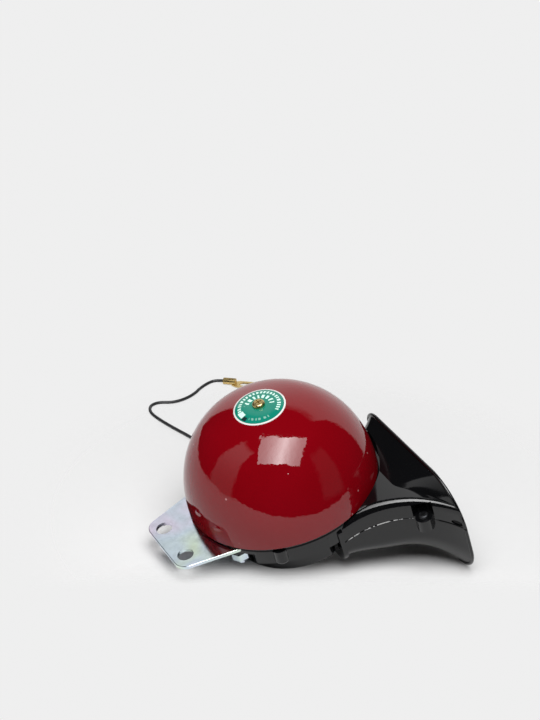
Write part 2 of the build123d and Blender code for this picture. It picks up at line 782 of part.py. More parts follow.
def make_trumpet():
    """Both halves of the trumpet, each one moulding, as (upper, lower)."""
    no_inset = (0,) * len(stations)
    wide = flare(0, no_inset)
    wide_room = flare(-trumpet_wall, no_inset)
    bell = flare(0, bell_inset)
    bell_room = flare(-trumpet_wall, bell_inset)
    low_room = below_seam()
    socket_reach = root_x - spigot_length
    behind_socket = block(socket_reach, 5, -60, 120, -60, 40)
    socket = block(
        socket_reach - 1,
        5,
        outlet_in - spigot_wall - socket_clearance,
        outlet_out + spigot_wall + socket_clearance,
        -spigot_bottom - socket_clearance,
        -spigot_top + socket_clearance,
    )
    collar = extrude(section(stations[0], collar_step, 0), -collar_width)
    path = mouth_wire()
    lip_plane = Plane(origin=path @ 0, z_dir=path % 0)
    lip = sweep(lip_plane * Circle(lip_radius), path)

    upper_form = bell + shoulder(-seam_step) + collar
    lower_form = wide + collar
    for lug in lug_forms():
        upper_form += lug
        lower_form += lug
    room = body_room(0.2)
    thick_room = body_room(0.2 + trumpet_wall)
    lug_cores = lug_posts(lug_radius, -lug_depth, lug_top)
    notch_wall_post = lug_posts(notch_radius + notch_wall, 0, notch_height + lug_top + notch_wall)[0]
    upper_hollow = bell_room + shoulder(-trumpet_wall) - behind_socket - thick_room
    lower_hollow = wide_room - behind_socket - thick_room
    for core in lug_cores:
        upper_hollow -= core
        lower_hollow -= core
    upper_hollow -= notch_wall_post
    upper = (upper_form - room) - upper_hollow - socket + (lip - room)
    lower = (lower_form - room) - lower_hollow - socket + lip
    upper = upper - low_room - lip_pocket()
    lower = lower & low_room
    upper -= lug_posts(notch_radius, lug_top, lug_top + notch_height)[0]
    for hole in lug_posts(seam_screw_radius + screw_clearance, -1, lug_top + 1):
        upper -= hole
    for hole in lug_posts(seam_screw_radius, -lug_depth + 1.0, 1):
        lower -= hole
    return upper, lower


def make_seam_screws():
    screws = []
    for spot in lug_spots:
        seat = seam_z(spot[0]) + lug_top
        tip = seam_z(spot[0]) - lug_depth + 1.5
        screws.append(
            pan_screw(spot, seam_screw_head_radius, seam_screw_head_height, seam_screw_radius, seat, tip)
        )
    return screws


# ---- fasteners at the rim -----------------------------------------------------------------------------------
def make_rim_screws():
    seat = flange_under + can_wall
    screws = []
    for spot in screw_spots():
        if is_bracket_screw(spot):
            continue
        tip = flange_under - base_flange_thickness if in_trumpet(spot) else flange_under - boss_depth + 1.6
        screws.append(pan_screw(spot, screw_head_radius, screw_head_height, rim_screw_radius, seat, tip))
    return screws


nut_seat = plate_under          # the bosses of the bracket screws end level with the plate


def make_bracket_screws():
    seat = flange_under + can_wall
    tip = nut_seat - bracket_nut_height - bracket_screw_tail
    return [
        pan_screw(spot, screw_head_radius, screw_head_height, rim_screw_radius, seat, tip)
        for spot in screw_spots()
        if is_bracket_screw(spot)
    ]


def make_bracket_nuts():
    nuts = []
    for spot in screw_spots():
        if is_bracket_screw(spot):
            nut = hex_post(spot, bracket_nut_across_flats, nut_seat - bracket_nut_height, nut_seat)
            nuts.append(nut - post(spot, rim_screw_radius, nut_seat - 10, nut_seat + 1))
    return nuts


# ---- lead ---------------------------------------------------------------------------------------------------
lead_z = flange_under - base_flange_thickness - 3.2


def lead_plane(radius):
    """A plane across the lead's exit, its normal pointing out from the horn."""
    out = polar(1, lead_angle)
    spot = polar(radius, lead_angle)
    return Plane(origin=(spot[0], spot[1], lead_z), z_dir=(out[0], out[1], 0))


def grommet_form(radius, length):
    return extrude(lead_plane(flange_radius - length / 2) * Circle(radius), length)


def make_grommet():
    inner = flange_radius - skirt_wall - 0.9
    outer = flange_radius + grommet_head_height
    head = extrude(lead_plane(flange_radius) * Circle(grommet_radius), grommet_head_height)
    neck = extrude(lead_plane(inner) * Circle(grommet_radius - 0.5), outer - inner)
    back = extrude(lead_plane(inner) * Circle(grommet_radius), 0.8)
    return head + neck + back - extrude(lead_plane(inner - 1) * Circle(lead_radius), outer - inner + 3)


def lead_points():
    """The corners of the lead's path, from the grommet's face to the terminal."""
    start = lead_plane(flange_radius + grommet_head_height).origin
    return [start] + [Vector(*point) for point in lead_route]


def lead_bends(points):
    """The largest arc that each corner of the path has room for."""
    radii = []
    for before, corner, after in zip(points, points[1:], points[2:]):
        run_in = corner - before
        run_out = after - corner
        half_turn = radians(run_in.get_angle(run_out) / 2)
        radii.append(bend_share * min(run_in.length, run_out.length) / tan(half_turn))
    return radii


def make_lead():
    points = lead_points()
    radii = lead_bends(points)
    path = FilletPolyline(*points, radius=radii)
    wire = sweep(Plane(origin=path @ 0, z_dir=path % 0) * Circle(lead_radius), path)
    share = wire.volume / (pi * lead_radius**2 * path.length)
    print("lead length", round(path.length, 1), "volume over section times length", round(share, 4))
    print("lead bend radii", [round(radius, 1) for radius in radii])
    return wire


def make_fork():
    """A crimped barrel and a flat forked tongue that lies on the same surface as the lead."""
    points = lead_points()
    forward = (points[-1] - points[-2]).normalized()
    up = Vector(*surface_up)
    up = (up - forward * up.dot(forward)).normalized()
    low = -fork_barrel_radius
    half = fork_width / 2
    outline = Polyline(
        (fork_barrel_length - 2.0, -0.5 * half),
        (fork_barrel_length + 1.5, -half),
        (fork_length, -half),
        (fork_length, half),
        (fork_barrel_length + 1.5, half),
        (fork_barrel_length - 2.0, 0.5 * half),
        close=True,
    )
    tongue = make_face(outline)
    tongue = fillet(tongue.vertices().group_by(Axis.X)[-1], 0.9)
    slot_end = Pos(fork_slot_start, 0) * Circle(fork_slot / 2)
    slot = Pos((fork_slot_start + fork_length + 1) / 2, 0)
    slot *= Rectangle(fork_length + 1 - fork_slot_start, fork_slot)
    tongue -= slot_end + slot
    form = extrude(Pos(0, 0, low) * tongue, fork_thickness)
    barrel = Rot(0, 90, 0) * Cylinder(
        fork_barrel_radius, fork_barrel_length, align=(Align.CENTER, Align.CENTER, Align.MIN)
    )
    crimp = Pos(fork_barrel_length / 2, 0, fork_barrel_radius) * Box(
        fork_barrel_length + 1, fork_seam_width, fork_barrel_radius
    )
    return Plane(origin=points[-1], x_dir=forward, z_dir=up) * (form + barrel - crimp)


nodes = {
    "dome_cover": make_cover(),
    "cover_label": make_label(),
    "cover_screw": make_cover_screw(),
    "cover_post": make_cover_post(),
    "motor_can": make_can(),
    "pole_core": make_pole_core(),
    "pole_washer": make_pole_washer(),
    "pole_nut": make_pole_nut(),
    "coil_bobbin": make_bobbin(),
    "coil_winding": make_winding(),
    "upper_gasket": make_gasket(flange_under - gasket_thickness),
    "lower_gasket": make_gasket(seat_z),
    "diaphragm": make_diaphragm(),
    "armature": make_armature(),
    "armature_rivet": make_armature_rivet(),
    "armature_washer": make_washer(),
    "moving_contact_arm": make_moving_arm(),
    "fixed_contact_arm": make_fixed_arm(),
    "moving_contact_point": make_moving_contact(),
    "fixed_contact_point": make_fixed_contact(),
    "contact_button": make_button(),
    "contact_insulators": make_insulators(),
    "contact_clamp_plate": make_clamp_plate(),
    "contact_rivets": make_rivets(),
    "adjusting_screw": make_adjuster(),
    "adjusting_nut": make_adjuster_nut(),
    "snail_base": make_base(),
    "snail_bowl": make_bowl(),
    "mounting_bracket": make_bracket(),
    "bracket_screws": make_bracket_screws(),
    "bracket_nuts": make_bracket_nuts(),
    "rim_screws": make_rim_screws(),
    "seam_screws": make_seam_screws(),
    "lead_grommet": make_grommet(),
    "lead_wire": make_lead(),
    "fork_terminal": make_fork(),
}
nodes["trumpet_upper"], nodes["trumpet_lower"] = make_trumpet()

os.makedirs("parts", exist_ok=True)
for name, shape in nodes.items():
    solids = shape if isinstance(shape, list) else [shape]
    placed = Compound(children=[origin_shift * solid for body in solids for solid in body.solids()])
    export_step(placed, f"parts/{name}.step")
    print(name, len(placed.solids()), "solids", round(placed.volume, 1), "mm3")
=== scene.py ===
import json
import math

import bpy
from mathutils import Matrix, Vector


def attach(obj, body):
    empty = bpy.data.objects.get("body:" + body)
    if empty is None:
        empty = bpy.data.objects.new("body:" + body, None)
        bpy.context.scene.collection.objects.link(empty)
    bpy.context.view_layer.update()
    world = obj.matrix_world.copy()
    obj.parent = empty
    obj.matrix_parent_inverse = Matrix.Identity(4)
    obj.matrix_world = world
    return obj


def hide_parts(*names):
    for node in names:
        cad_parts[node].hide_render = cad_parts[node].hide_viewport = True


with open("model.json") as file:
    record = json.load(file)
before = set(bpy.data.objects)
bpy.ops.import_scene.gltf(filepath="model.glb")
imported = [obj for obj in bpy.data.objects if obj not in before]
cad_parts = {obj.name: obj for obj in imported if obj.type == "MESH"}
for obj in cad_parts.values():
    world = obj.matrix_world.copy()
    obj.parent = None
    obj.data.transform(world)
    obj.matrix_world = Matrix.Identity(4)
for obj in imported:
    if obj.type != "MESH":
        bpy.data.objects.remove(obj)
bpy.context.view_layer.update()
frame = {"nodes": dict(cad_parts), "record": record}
nodes = frame["nodes"]
scene = bpy.context.scene
scene.view_settings.view_transform = "Standard"
MM = 0.001


def millimetres(*numbers):
    """Numbers of millimetres, in the scene's metres."""
    return tuple(number * MM for number in numbers)


def radians(*degrees):
    return tuple(math.radians(number) for number in degrees)


# The horn lies tilted on a flat surface. The snail's bowl and the lead rest on it, and the bell's
# lip is less than half a millimetre above it.
UP = Vector((-0.2896, -0.0630, 0.9551)).normalized()
REST_HEIGHT = -0.01422                      # the surface's place along UP
HORN_AXIS = Vector((-0.0635, 0.0, 0.0))     # a point on the horn's axis, which runs along Z
SURFACE = HORN_AXIS - UP * (HORN_AXIS.dot(UP) - REST_HEIGHT)    # the surface's nearest point to it

CAMERA_PLACE = Vector((0.2955, 1.2201, 1.0903))
CAMERA_RIGHT = Vector((-0.86502, 0.44907, -0.22378))
CAMERA_UP = Vector((-0.44694, -0.48699, 0.75039))
CAMERA_BACK = Vector((0.22800, 0.74912, 0.62196))
CAMERA_LENS = 163.59
CAMERA_SENSOR = 36.0
CAMERA_CLIP = (0.1, 30.0)

# The studio's own directions along the surface: towards the camera and to the picture's right.
towards = (CAMERA_BACK - UP * CAMERA_BACK.dot(UP)).normalized()
right = UP.cross(towards)


def studio_point(across, forward, height=0.0):
    """A point by its distance to the picture's right, towards the camera and up from the surface."""
    return SURFACE + right * across + towards * forward + UP * height


def make_camera():
    data = bpy.data.cameras.new("camera")
    data.sensor_fit = "VERTICAL"
    data.sensor_height = CAMERA_SENSOR
    data.sensor_width = CAMERA_SENSOR
    data.lens = CAMERA_LENS
    data.clip_start, data.clip_end = CAMERA_CLIP
    camera = bpy.data.objects.new("camera", data)
    scene.collection.objects.link(camera)
    turn = Matrix((CAMERA_RIGHT, CAMERA_UP, CAMERA_BACK)).transposed().to_4x4()
    camera.matrix_world = Matrix.Translation(CAMERA_PLACE) @ turn
    scene.camera = camera


# ---- node helpers ------------------------------------------------------------------------
class Shader:
    """A small builder for one node tree."""

    def __init__(self, owner):
        owner.use_nodes = True
        self.tree = owner.node_tree
        self.tree.nodes.clear()

    def new(self, kind, **settings):
        node = self.tree.nodes.new(kind)
        for name, value in settings.items():
            setattr(node, name, value)
        return node

    def link(self, source, socket):
        self.tree.links.new(source, socket)

    def put(self, socket, value):
        """Gives a socket its source, or its plain value."""
        if isinstance(value, bpy.types.NodeSocket):
            self.link(value, socket)
        else:
            socket.default_value = value

    def math(self, operation, *values):
        node = self.new("ShaderNodeMath", operation=operation)
        for socket, value in zip(node.inputs, values):
            self.put(socket, value)
        return node.outputs[0]

    def times(self, first, second):
        return self.math("MULTIPLY", first, second)

    def plus(self, first, second):
        return self.math("ADD", first, second)

    def minus(self, first, second):
        return self.math("SUBTRACT", first, second)

    def larger(self, first, second):
        return self.math("MAXIMUM", first, second)

    def length(self, first, *others):
        """The length of a vector, from its parts along square axes."""
        total = self.times(first, first)
        for part in others:
            total = self.plus(total, self.times(part, part))
        return self.math("SQRT", total)

    def dot(self, vector, axis):
        node = self.new("ShaderNodeVectorMath", operation="DOT_PRODUCT")
        self.put(node.inputs[0], vector)
        node.inputs[1].default_value = axis
        return node.outputs["Value"]

    def split(self, vector):
        """A vector's three parts, as a list."""
        node = self.new("ShaderNodeSeparateXYZ")
        self.link(vector, node.inputs[0])
        return [node.outputs[axis] for axis in "XYZ"]

    def place(self):
        return self.new("ShaderNodeTexCoord").outputs["Object"]

    def offset(self, centre):
        """The way from a centre to the point that is shaded."""
        node = self.new("ShaderNodeVectorMath", operation="SUBTRACT")
        self.link(self.place(), node.inputs[0])
        node.inputs[1].default_value = centre
        return node.outputs[0]

    def distance(self, centre, scale, axes=((1, 0, 0), (0, 1, 0), (0, 0, 1))):
        """The distance from a centre, with each axis scaled."""
        offset = self.offset(centre)
        return self.length(*(self.times(self.dot(offset, axis), size) for axis, size in zip(axes, scale)))

    def step(self, value, low, high, start=0.0, end=1.0):
        """A smooth step from start to end, where value goes from low to high."""
        node = self.new("ShaderNodeMapRange", interpolation_type="SMOOTHSTEP")
        self.put(node.inputs["Value"], value)
        for name, number in zip(("From Min", "From Max", "To Min", "To Max"), (low, high, start, end)):
            self.put(node.inputs[name], number)
        return node.outputs["Result"]

    def fall(self, value, low, high):
        """A smooth step from 1 down to 0."""
        return self.step(value, low, high, 1.0, 0.0)

    def mix(self, factor, first, second, kind="Color"):
        """A mix of two colours, or of two plain values where the kind is Float."""
        node = self.new("ShaderNodeMix", data_type={"Color": "RGBA", "Float": "FLOAT"}[kind])
        sockets = {socket.identifier: socket for socket in (*node.inputs, *node.outputs)}
        self.put(sockets["Factor_Float"], factor)
        self.put(sockets["A_" + kind], first)
        self.put(sockets["B_" + kind], second)
        return sockets["Result_" + kind]

    def noise(self, scale, detail=2.0, roughness=0.5, distortion=0.0):
        node = self.new("ShaderNodeTexNoise")
        node.inputs["Scale"].default_value = scale
        node.inputs["Detail"].default_value = detail
        node.inputs["Roughness"].default_value = roughness
        node.inputs["Distortion"].default_value = distortion
        self.link(self.place(), node.inputs["Vector"])
        return node.outputs["Fac"]

    def ramp(self, value, *stops):
        node = self.new("ShaderNodeValToRGB")
        self.put(node.inputs[0], value)
        elements = node.color_ramp.elements
        while len(elements) < len(stops):
            elements.new(0.5)
        for element, (position, stop) in zip(elements, stops):
            element.position = position
            element.color = (*stop, 1.0)
        return node.outputs["Color"]

    def bump(self, height, distance, strength=1.0):
        node = self.new("ShaderNodeBump")
        node.inputs["Strength"].default_value = strength
        node.inputs["Distance"].default_value = distance
        self.put(node.inputs["Height"], height)
        return node.outputs["Normal"]

    def rays(self):
        """Whether the camera sees the point, and whether a mirroring or clear surface does."""
        path = self.new("ShaderNodeLightPath")
        mirrored = self.larger(path.outputs["Is Glossy Ray"], path.outputs["Is Transmission Ray"])
        return path.outputs["Is Camera Ray"], mirrored

    def output(self, shader, kind="ShaderNodeOutputMaterial"):
        out = self.new(kind)
        self.link(shader.outputs[0], out.inputs["Surface"])

    def surface(self, **values):
        """The principled shader and the output, with the values by socket name."""
        shader = self.new("ShaderNodeBsdfPrincipled")
        for name, value in values.items():
            self.put(shader.inputs[name.replace("_", " ")], value)
        self.output(shader)


def material(name):
    made = bpy.data.materials.new(name)
    return made, Shader(made)


def colour(r, g, b):
    return (r, g, b, 1.0)


def grey(value):
    return colour(value, value, value)


# ---- materials -----------------------------------------------------------------------------
PLASTIC_IOR = 1.5              # of the enamel and the label's film too

SPECK_CELLS = 95.0             # cells to the metre, each with room for one speck of dust
SPECK_SKIPPED = (0.20, 0.25)   # cells whose random number is under this stay empty
SPECK_RADIUS = (0.045, 0.065)  # a speck's soft edge, as a share of a cell
SPECK_SHOWS = 0.55             # how strongly a speck shows
SPECK_HEIGHT = 1.2             # the three heights share one bump distance
PEEL_HEIGHT = 0.50
WAVE_HEIGHT = 0.10
PAINT_BUMP = 0.11 * MM


def red_paint():
    made, s = material("red_paint")
    tone = s.step(s.noise(14.0, detail=3.0), 0.35, 0.65)
    base = s.mix(tone, colour(0.185, 0.0006, 0.0036), colour(0.205, 0.0010, 0.0050))
    cells = s.new("ShaderNodeTexVoronoi", feature="F1")
    cells.inputs["Scale"].default_value = SPECK_CELLS
    s.link(s.place(), cells.inputs["Vector"])
    filled = s.step(s.dot(cells.outputs["Color"], (1.0, 0.0, 0.0)), *SPECK_SKIPPED)
    speck = s.times(s.fall(cells.outputs["Distance"], *SPECK_RADIUS), filled)
    base = s.mix(s.times(speck, SPECK_SHOWS), base, colour(0.62, 0.30, 0.30))
    peel = s.noise(420.0, detail=1.0, roughness=0.45)
    wave = s.noise(60.0, detail=1.0)
    height = s.plus(s.times(peel, PEEL_HEIGHT), s.times(wave, WAVE_HEIGHT))
    height = s.plus(height, s.times(speck, SPECK_HEIGHT))
    s.surface(
        Base_Color=base,
        Roughness=s.step(s.noise(38.0, detail=4.0, roughness=0.6), 0.3, 0.8, start=0.025, end=0.06),
        IOR=PLASTIC_IOR,
        Normal=s.bump(height, PAINT_BUMP, strength=0.8),
    )
    return made


# The trumpet's seam is an arc round an axis along Y. Pairs of numbers are soft edges.
SEAM_CENTRE = Vector(millimetres(-95.0, 0.0, -64.5))
SEAM_RADIUS = 58.0 * MM
SEAM_SIDE = millimetres(38, 42)              # along Y, only the duct's outer side is marked
PAINTED_GLINT_START = millimetres(-72, -76)          # along X, a thin pale line painted on the seam: a painted highlight where its edge catches the light
PAINTED_GLINT_END = millimetres(-107, -104)
PAINTED_GLINT_HALF_WIDTH = millimetres(0.10, 0.20)
PAINTED_GLINT_BREAKS = (0.47, 0.55)                  # the line is broken where the noise is under this
SHADED_GROOVE_START = millimetres(-115, -117)       # along X, where painted shade darkens the seam like a groove
SHADED_GROOVE_HALF_WIDTH = millimetres(0.30, 0.55)

# The lens-shaped pocket beside the lip, which gets painted shade: its half sizes along it, across it and
# into the wall.
POCKET_CENTRE = Vector(millimetres(-123.44, 73.55, -11.9))
POCKET_HALVES = millimetres(3.3, 1.6, 4.0)
POCKET_EDGE = (0.92, 1.08)
POCKET_RUN = Vector((-0.63, 0.776, -0.35)).normalized()
POCKET_FACING = Vector((0.776, 0.63, 0.0)).normalized()
POCKET_AXES = (POCKET_RUN, POCKET_FACING.cross(POCKET_RUN), POCKET_FACING)

# Painted shade in the gap under the cover's edge: a ring round the horn's axis, at the top of the base.
JOINT_INNER = millimetres(45, 46)
JOINT_OUTER = millimetres(49.5, 50)
JOINT_BOTTOM = millimetres(-1.3, -0.9)

MOULDING_SPECULAR = 0.5
PAINTED_SHADE_SPECULAR = 0.42          # what the painted shade in the groove, the pocket and the joint takes off it, to darken them
MOULDING_BUMP = 0.12 * MM


def black_moulding():
    made, s = material("black_moulding")
    cloud = s.noise(26.0, detail=4.0, roughness=0.6)
    base = s.mix(cloud, colour(0.0020, 0.0021, 0.0025), colour(0.0042, 0.0043, 0.0048))
    fine = s.noise(900.0)
    flow = s.noise(45.0)
    height = s.plus(s.times(fine, 0.12), s.times(flow, 0.88))

    along, sideways, upwards = s.split(s.place())
    marked_side = s.step(sideways, *SEAM_SIDE)
    off_seam = s.math("ABSOLUTE", s.minus(s.distance(SEAM_CENTRE, (1.0, 0.0, 1.0)), SEAM_RADIUS))
    # A painted highlight: broken pale dashes along the seam, put into the base colour as glints of light on
    # its edge.
    painted_glint_run = s.times(s.times(marked_side, s.step(along, *PAINTED_GLINT_START)), s.step(along, *PAINTED_GLINT_END))
    broken = s.step(s.noise(420.0, roughness=0.6), *PAINTED_GLINT_BREAKS)
    painted_glint = s.times(s.fall(off_seam, *PAINTED_GLINT_HALF_WIDTH), s.times(painted_glint_run, broken))
    # Painted shade: the specular level is lowered in the seam's groove by the lip, in the pocket and in the
    # joint under the cover, so that they look darker, as if shade fell there.
    shaded_groove_run = s.times(marked_side, s.step(along, *SHADED_GROOVE_START))
    painted_groove_shade = s.times(s.fall(off_seam, *SHADED_GROOVE_HALF_WIDTH), shaded_groove_run)
    to_pocket = s.distance(POCKET_CENTRE, [1 / half for half in POCKET_HALVES], POCKET_AXES)
    painted_pocket_shade = s.fall(to_pocket, *POCKET_EDGE)
    off_axis = s.distance(HORN_AXIS, (1.0, 1.0, 0.0))
    under_cover = s.times(s.step(off_axis, *JOINT_INNER), s.fall(off_axis, *JOINT_OUTER))
    painted_joint_shade = s.times(under_cover, s.step(upwards, *JOINT_BOTTOM))
    painted_shade = s.larger(s.larger(painted_groove_shade, painted_pocket_shade), painted_joint_shade)
    # The base colour carries the painted seam highlight, and the specular level carries the painted shade.
    s.surface(
        Base_Color=s.mix(painted_glint, base, grey(0.42)),
        Roughness=s.step(s.noise(70.0, detail=5.0, roughness=0.65), 0.25, 0.8, start=0.06, end=0.13),
        IOR=PLASTIC_IOR,
        Specular_IOR_Level=s.minus(MOULDING_SPECULAR, s.times(painted_shade, PAINTED_SHADE_SPECULAR)),
        Normal=s.bump(height, MOULDING_BUMP, strength=0.6),
    )
    return made


FILM_SHOWS = 0.9               # how much of the plating's colour is its iridescent film
ZINC_BUMP = 0.03 * MM


def zinc_plate():
    made, s = material("zinc_plate")
    hue = s.ramp(
        s.noise(21.0, detail=1.5, distortion=0.8),
        (0.28, (0.88, 0.86, 0.54)),
        (0.38, (0.72, 0.86, 0.70)),
        (0.47, (0.66, 0.78, 0.88)),
        (0.55, (0.80, 0.74, 0.90)),
        (0.63, (0.88, 0.74, 0.78)),
        (0.72, (0.88, 0.84, 0.58)),
    )
    s.surface(
        Base_Color=s.mix(FILM_SHOWS, grey(0.78), hue),
        Metallic=1.0,
        Roughness=s.step(s.noise(240.0, detail=4.0, roughness=0.6), 0.3, 0.75, start=0.14, end=0.22),
        Normal=s.bump(s.noise(420.0), ZINC_BUMP, strength=0.5),
    )
    return made


METAL_GRAIN = 160.0
METAL_BUMP = 0.03 * MM


def metal(name, dark, light, smooth, rough):
    """A bare metal between two tones and two roughnesses."""
    made, s = material(name)
    tone = s.noise(METAL_GRAIN, detail=4.0, roughness=0.6)
    wear = s.noise(METAL_GRAIN * 2.3, detail=3.0, roughness=0.6)
    s.surface(
        Base_Color=s.mix(tone, colour(*dark), colour(*light)),
        Metallic=1.0,
        Roughness=s.step(wear, 0.3, 0.75, smooth, rough),
        Normal=s.bump(s.noise(METAL_GRAIN * 3.1), METAL_BUMP, strength=0.6),
    )
    return made


def screw_brass():
    return metal("screw_brass", (0.46, 0.34, 0.13), (0.70, 0.55, 0.26), smooth=0.22, rough=0.40)


def core_steel():
    return metal("core_steel", (0.22, 0.23, 0.24), (0.36, 0.37, 0.38), smooth=0.30, rough=0.45)


def spring_steel():
    return metal("spring_steel", (0.030, 0.031, 0.034), (0.060, 0.061, 0.066), smooth=0.40, rough=0.55)


def spring_bronze():
    return metal("spring_bronze", (0.48, 0.28, 0.13), (0.62, 0.40, 0.20), smooth=0.22, rough=0.36)


def contact_metal():
    return metal("contact_metal", (0.40, 0.40, 0.42), (0.58, 0.58, 0.60), smooth=0.2, rough=0.35)


def terminal_brass():
    return metal("terminal_brass", (0.50, 0.34, 0.12), (0.76, 0.58, 0.26), smooth=0.18, rough=0.34)


PLASTIC_GRAIN = 120.0
PLASTIC_BUMP = 0.04 * MM


def plastic(name, dark, light, smooth, rough):
    """A plastic, rubber, paper or lacquer between two tones and two roughnesses."""
    made, s = material(name)
    tone = s.noise(PLASTIC_GRAIN, detail=4.0, roughness=0.6)
    wear = s.noise(PLASTIC_GRAIN * 2.0, detail=3.0, roughness=0.6)
    s.surface(
        Base_Color=s.mix(tone, colour(*dark), colour(*light)),
        Roughness=s.step(wear, 0.3, 0.75, smooth, rough),
        Normal=s.bump(s.noise(PLASTIC_GRAIN * 4.0), PLASTIC_BUMP, strength=0.6),
    )
    return made


def can_lacquer():
    return plastic("can_lacquer", (0.010, 0.010, 0.011), (0.018, 0.018, 0.020), smooth=0.22, rough=0.36)


def bobbin_plastic():
    return plastic("bobbin_plastic", (0.58, 0.55, 0.46), (0.66, 0.63, 0.54), smooth=0.35, rough=0.5)


def gasket_paper():
    return plastic("gasket_paper", (0.06, 0.045, 0.03), (0.10, 0.08, 0.055), smooth=0.7, rough=0.9)


def insulating_board():
    return plastic("insulating_board", (0.08, 0.03, 0.012), (0.14, 0.06, 0.025), smooth=0.4, rough=0.6)


def lead_sheath():
    return plastic("lead_sheath", (0.008, 0.008, 0.009), (0.016, 0.016, 0.018), smooth=0.32, rough=0.5)


def grommet_rubber():
    return plastic("grommet_rubber", (0.010, 0.010, 0.010), (0.018, 0.018, 0.018), smooth=0.5, rough=0.7)


WIRE_PITCH = 0.6 * MM
WIRE_BUMP = 0.1 * MM


def copper_winding():
    made, s = material("copper_winding")
    turns = s.math("SINE", s.times(s.dot(s.place(), (0.0, 0.0, 1.0)), 2 * math.pi / WIRE_PITCH))
    s.surface(
        Base_Color=s.mix(s.noise(300.0, detail=3.0), colour(0.55, 0.20, 0.07), colour(0.72, 0.30, 0.12)),
        Metallic=1.0,
        Roughness=0.3,
        Normal=s.bump(turns, WIRE_BUMP, strength=0.8),
    )
    return made


RIM_START = millimetres(12.65, 12.8)    # where the label's green field meets its pale rim
MARK_EDGE = 0.12                        # how soft a mark is along the radius, in millimetres
MARK_BLUR = 0.12                        # and along its ring, in the cosine that spaces the marks
MARK_JITTER = 6.0                       # how far that cosine strays from an even one, in radians
FAINT_SHOWS = 0.35                      # how strongly the faint marks show
LABEL_BUMP = 0.04 * MM


def label_foil():
    made, s = material("label_foil")
    x, y, _ = s.split(s.offset(HORN_AXIS))
    radius = s.length(x, y)
    turn = s.math("ARCTAN2", y, x)
    jitter = s.times(s.noise(300.0, detail=1.0), MARK_JITTER)

    def part(inner, outer, centre, reach):
        """A piece of a ring: its radii in millimetres, its middle and its reach each way in degrees."""
        ring = s.times(
            s.step(radius, *millimetres(inner, inner + MARK_EDGE)),
            s.fall(radius, *millimetres(outer - MARK_EDGE, outer)),
        )
        off = s.math("WRAP", s.minus(turn, math.radians(centre)), math.pi, -math.pi)
        near = s.fall(s.math("ABSOLUTE", off), *radians(reach - 1, reach + 1))
        return s.times(ring, near)

    def marks(inner, outer, centre, reach, count, share):
        """Uneven marks along a piece of a ring, about count to a full turn and share of it."""
        wave = s.math("COSINE", s.plus(s.times(turn, float(count)), jitter))
        level = 1.0 - 2 * share
        return s.times(part(inner, outer, centre, reach), s.step(wave, level - MARK_BLUR, level + MARK_BLUR))

    outer_marks = marks(9.3, 11.2, centre=235, reach=112, count=34, share=0.55)
    inner_marks = marks(5.4, 8.0, centre=240, reach=84, count=17, share=0.50)
    pale_block = part(8.6, 11.6, centre=0, reach=11)
    faint_marks = s.times(marks(9.4, 10.9, centre=62, reach=30, count=30, share=0.5), FAINT_SHOWS)
    dark_block = part(9.8, 12.2, centre=19, reach=7)
    pale = s.larger(s.larger(s.larger(outer_marks, inner_marks), pale_block), faint_marks)
    green = s.mix(s.noise(60.0, detail=3.0), colour(0.003, 0.185, 0.128), colour(0.006, 0.215, 0.150))
    field = s.mix(pale, green, colour(0.62, 0.86, 0.76))
    field = s.mix(dark_block, field, colour(0.010, 0.030, 0.030))
    s.surface(
        Base_Color=s.mix(s.step(radius, *RIM_START), field, colour(0.74, 0.72, 0.70)),
        Roughness=s.step(s.noise(150.0, detail=3.0), 0.3, 0.7, start=0.12, end=0.22),
        IOR=PLASTIC_IOR,
        Normal=s.bump(s.noise(220.0), LABEL_BUMP, strength=0.6),
    )
    return made


def make_materials():
    """Makes each slot's material and puts it on the slot's pieces."""
    makers = (
        red_paint, label_foil, screw_brass, zinc_plate, can_lacquer, core_steel, spring_steel,
        bobbin_plastic, copper_winding, gasket_paper, spring_bronze, contact_metal, insulating_board,
        black_moulding, lead_sheath, grommet_rubber, terminal_brass,
    )
    made = {maker.__name__: maker() for maker in makers}
    slots = {row["node"]: row["material_slot"] for row in frame["record"]["subparts"]}
    for name, piece in nodes.items():
        finish = made[slots[name]]
        if piece.data.materials:
            for index in range(len(piece.data.materials)):
                piece.data.materials[index] = finish
        else:
            piece.data.materials.append(finish)
    return made


# ---- lead ------------------------------------------------------------------------------------
LEAD_DIAMETER = 1.7 * MM
LEAD_ROUTE = [                   # in millimetres, from the grommet to the terminal
    (-54.82, -49.24, -6.20),
    (-53.3, -58.0, -6.5),
    (-52.9, -67.0, -10.6),
    (-53.7, -75.5, -18.6),
    (-55.1, -83.5, -27.6),
    (-56.1, -92.5, -36.0),
    (-55.9, -102.8, -37.7),
    (-53.6, -113.0, -37.7),
    (-50.1, -123.5, -37.3),
    (-47.2, -134.0, -37.1),
    (-45.6, -142.2, -37.2),
    (-46.0, -147.8, -37.7),
    (-48.8, -152.4, -38.8),
    (-54.1, -153.5, -40.5),
    (-60.3, -149.9, -42.1),
    (-67.9, -150.5, -44.5),
    (-75.0, -153.6, -46.8),
    (-80.9, -158.4, -48.9),
    (-87.6, -161.6, -51.0),
    (-91.7, -160.9, -51.7),
    (-94.6, -158.1, -52.0),
]


